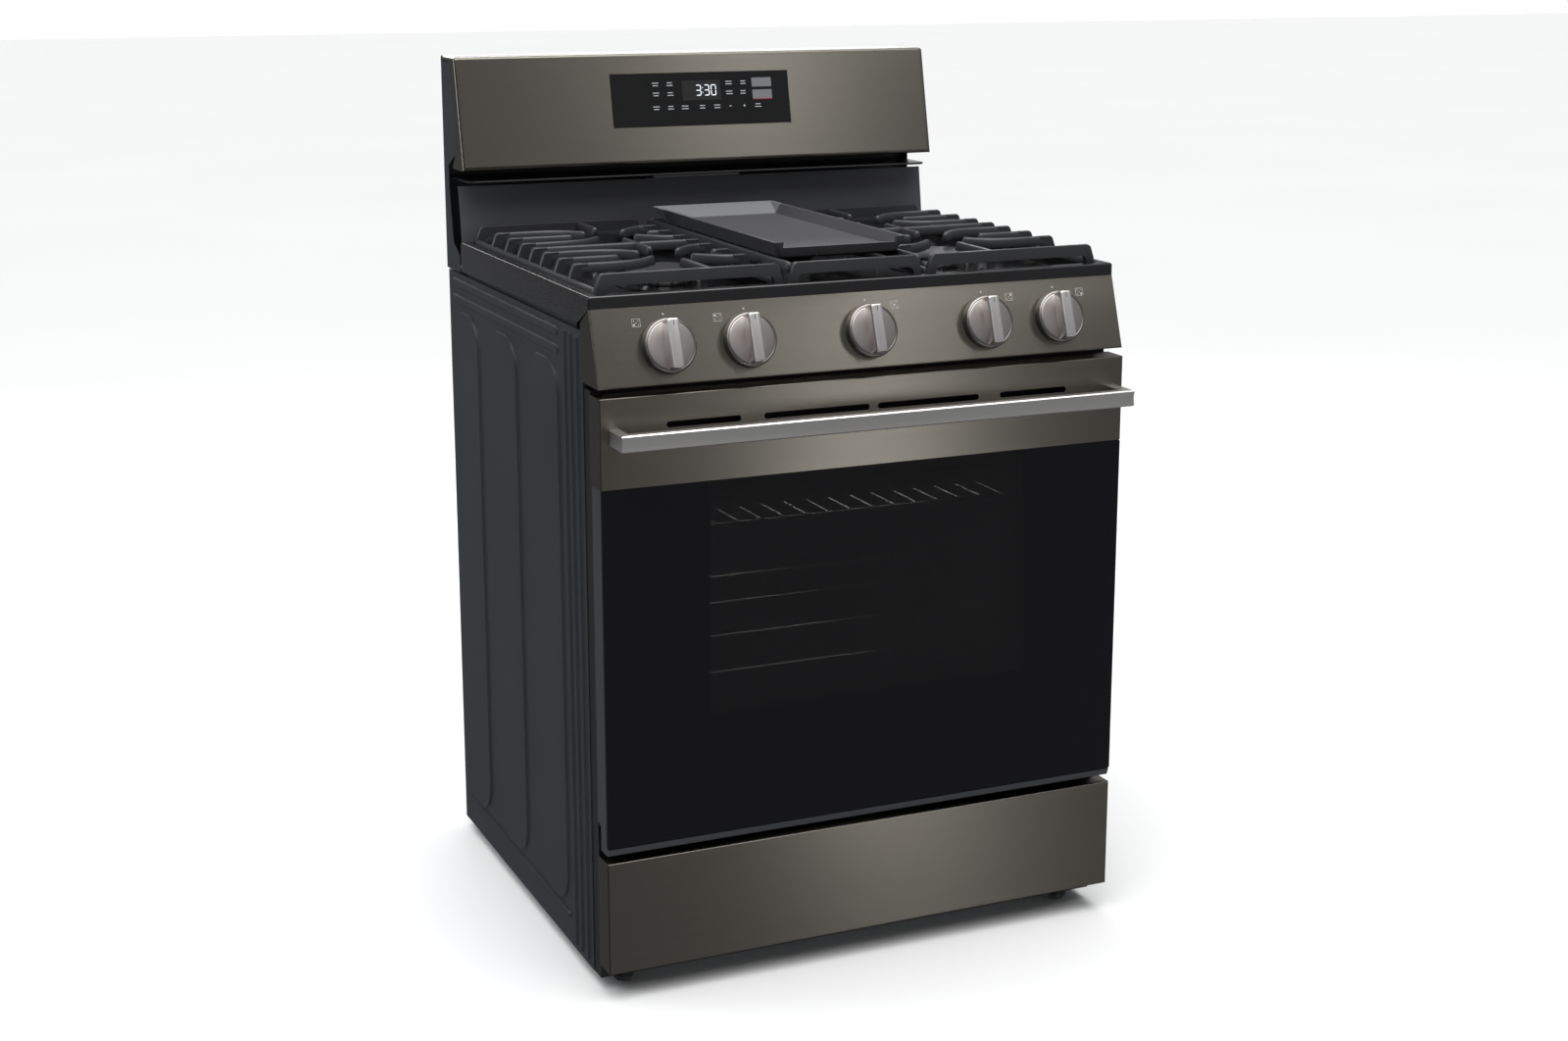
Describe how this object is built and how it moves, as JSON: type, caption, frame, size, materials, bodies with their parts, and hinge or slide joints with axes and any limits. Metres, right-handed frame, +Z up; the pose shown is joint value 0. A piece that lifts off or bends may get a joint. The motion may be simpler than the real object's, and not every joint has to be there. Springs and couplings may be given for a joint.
{
  "type": "freestanding gas range",
  "caption": "Freestanding gas range with sloped knob panel, windowed oven door, storage drawer, cast grates with griddle and a leaning rear console.",
  "frame": {"origin": "on the floor, under the centre of the bounding box in plan", "axes": "+Z up; the oven door faces -Y; +X is to the right of a person facing the door"},
  "size_m": [0.759, 0.735, 1.202],
  "materials": {
    "body_paint": "fine textured dark slate enamel paint",
    "door_paint": "satin slate paint",
    "frame_black": "satin black paint",
    "foot_black": "moulded black",
    "zinc_steel": "galvanised sheet",
    "oven_enamel": "speckled dark blue porcelain enamel",
    "mineral_wool": "glass fibre blanket",
    "tube_steel": "plain steel, heat tinted",
    "rack_chrome": "plated wire",
    "motor_steel": "plain pressed steel",
    "lamp_glass": "ribbed clear glass",
    "gasket_fibre": "woven glass rope",
    "cooktop_enamel": "gloss black porcelain enamel",
    "burner_aluminium": "die cast, tumbled",
    "cap_enamel": "matte grey enamel",
    "igniter_ceramic": "white glazed ceramic",
    "pipe_steel": "black pipe",
    "valve_brass": "machined",
    "regulator_alloy": "die cast",
    "dark_stainless": "dark tinted stainless, horizontal brushing",
    "display_glass": "black glass",
    "board_plastic": "circuit board",
    "splash_paint": "satin slate enamel",
    "trim_black": "gloss black",
    "screw_steel": "zinc plated",
    "inlet_plastic": "moulded black",
    "hinge_steel": "zinc plated",
    "door_glass": "tinted black border glass",
    "inner_glass": "clear low-emission glass",
    "handle_satin": "satin dark stainless",
    "cast_iron": "matte grey enamel on cast iron",
    "griddle_iron": "seasoned, fine texture",
    "knob_silver": "warm satin silver"
  },
  "bodies": {
    "root": {"side_panels": "body_paint", "base_frame": "zinc_steel", "leveling_feet": "foot_black", "front_frame": "frame_black", "oven_liner": "oven_enamel", "oven_insulation": "mineral_wool", "oven_floor_panel": "oven_enamel", "oven_burners": "tube_steel", "rack_guides": "rack_chrome", "fan_cover": "oven_enamel", "fan_motor": "motor_steel", "oven_lamp": "lamp_glass", "temperature_sensor": "tube_steel", "door_gasket": "gasket_fibre", "oven_flue": "zinc_steel", "cooktop": "cooktop_enamel", "burner_heads": "burner_aluminium", "burner_caps": "cap_enamel", "igniters": "igniter_ceramic", "gas_lines": "pipe_steel", "gas_valves": "valve_brass", "pressure_regulator": "regulator_alloy", "control_panel": "dark_stainless", "console_fascia": "dark_stainless", "display_glass": "display_glass", "control_board": "board_plastic", "splash_panel": "splash_paint", "vent_trim": "trim_black", "backguard_shell": "body_paint", "drawer_rails": "zinc_steel", "panel_screws": "screw_steel", "power_inlet": "inlet_plastic", "rear_cover": "zinc_steel", "hinge_arms": "hinge_steel"},
    "oven_door": {"door_trim": "dark_stainless", "door_glass": "door_glass", "door_frame": "door_paint", "door_inner_glass": "inner_glass", "door_liner": "oven_enamel", "door_handle": "handle_satin", "door_hinges": "hinge_steel"},
    "storage_drawer": {"drawer_front": "dark_stainless", "drawer_box": "zinc_steel"},
    "grate_left": {"grate_left": "cast_iron"},
    "grate_right": {"grate_right": "cast_iron"},
    "grate_center": {"grate_center": "cast_iron"},
    "griddle": {"griddle": "griddle_iron"},
    "convection_fan": {"convection_fan": "tube_steel"},
    "oven_rack_lower": {"oven_rack_lower": "rack_chrome"},
    "oven_rack_upper": {"oven_rack_upper": "rack_chrome"},
    "valve_stem_left_outer": {"valve_stem_left_outer": "valve_brass"},
    "knob_left_outer": {"knob_left_outer": "knob_silver"},
    "valve_stem_left_inner": {"valve_stem_left_inner": "valve_brass"},
    "knob_left_inner": {"knob_left_inner": "knob_silver"},
    "valve_stem_center": {"valve_stem_center": "valve_brass"},
    "knob_center": {"knob_center": "knob_silver"},
    "valve_stem_right_inner": {"valve_stem_right_inner": "valve_brass"},
    "knob_right_inner": {"knob_right_inner": "knob_silver"},
    "valve_stem_right_outer": {"valve_stem_right_outer": "valve_brass"},
    "knob_right_outer": {"knob_right_outer": "knob_silver"}
  },
  "joints": [
    {"name": "door_hinge", "type": "hinge", "parent": "root", "child": "oven_door", "pos_m": [0, -0.3035, 0.225], "axis": [1, 0, 0], "range_deg": [0, 90], "stiffness_Nm_per_rad": 16, "springref_deg": -6.88},
    {"name": "drawer_slide", "type": "slide", "parent": "root", "child": "storage_drawer", "axis": [0, -1, 0], "range_m": [0, 0.4]},
    {"name": "knob_turn_left_outer", "type": "hinge", "parent": "root", "child": "valve_stem_left_outer", "pos_m": [-0.282, -0.30033, 0.869], "axis": [0, -0.9497, 0.3133], "range_deg": [0, 210]},
    {"name": "knob_push_left_outer", "type": "slide", "parent": "valve_stem_left_outer", "child": "knob_left_outer", "axis": [0, 0.9497, -0.3133], "range_m": [0, 0.0035], "stiffness_N_per_m": 900, "springref_m": -0.003},
    {"name": "knob_turn_left_inner", "type": "hinge", "parent": "root", "child": "valve_stem_left_inner", "pos_m": [-0.172, -0.30033, 0.869], "axis": [0, -0.9497, 0.3133], "range_deg": [0, 210]},
    {"name": "knob_push_left_inner", "type": "slide", "parent": "valve_stem_left_inner", "child": "knob_left_inner", "axis": [0, 0.9497, -0.3133], "range_m": [0, 0.0035], "stiffness_N_per_m": 900, "springref_m": -0.003},
    {"name": "knob_turn_center", "type": "hinge", "parent": "root", "child": "valve_stem_center", "pos_m": [0, -0.30033, 0.869], "axis": [0, -0.9497, 0.3133], "range_deg": [0, 210]},
    {"name": "knob_push_center", "type": "slide", "parent": "valve_stem_center", "child": "knob_center", "axis": [0, 0.9497, -0.3133], "range_m": [0, 0.0035], "stiffness_N_per_m": 900, "springref_m": -0.003},
    {"name": "knob_turn_right_inner", "type": "hinge", "parent": "root", "child": "valve_stem_right_inner", "pos_m": [0.172, -0.30033, 0.869], "axis": [0, -0.9497, 0.3133], "range_deg": [0, 210]},
    {"name": "knob_push_right_inner", "type": "slide", "parent": "valve_stem_right_inner", "child": "knob_right_inner", "axis": [0, 0.9497, -0.3133], "range_m": [0, 0.0035], "stiffness_N_per_m": 900, "springref_m": -0.003},
    {"name": "knob_turn_right_outer", "type": "hinge", "parent": "root", "child": "valve_stem_right_outer", "pos_m": [0.282, -0.30033, 0.869], "axis": [0, -0.9497, 0.3133], "range_deg": [0, 210]},
    {"name": "knob_push_right_outer", "type": "slide", "parent": "valve_stem_right_outer", "child": "knob_right_outer", "axis": [0, 0.9497, -0.3133], "range_m": [0, 0.0035], "stiffness_N_per_m": 900, "springref_m": -0.003},
    {"name": "grate_left_lift", "type": "slide", "parent": "root", "child": "grate_left", "axis": [0, 0, 1], "range_m": [0, 0.05]},
    {"name": "grate_right_lift", "type": "slide", "parent": "root", "child": "grate_right", "axis": [0, 0, 1], "range_m": [0, 0.05]},
    {"name": "grate_center_lift", "type": "slide", "parent": "root", "child": "grate_center", "axis": [0, 0, 1], "range_m": [0, 0.05]},
    {"name": "griddle_lift", "type": "slide", "parent": "grate_center", "child": "griddle", "axis": [0, 0, 1], "range_m": [0, 0.12]},
    {"name": "fan_spin", "type": "hinge", "parent": "root", "child": "convection_fan", "pos_m": [0, 0.22, 0.52108], "axis": [0, 1, 0], "continuous": true},
    {"name": "oven_rack_lower_slide", "type": "slide", "parent": "root", "child": "oven_rack_lower", "axis": [0, -1, 0], "range_m": [0, 0.012]},
    {"name": "oven_rack_upper_slide", "type": "slide", "parent": "root", "child": "oven_rack_upper", "axis": [0, -1, 0], "range_m": [0, 0.012]}
  ]
}
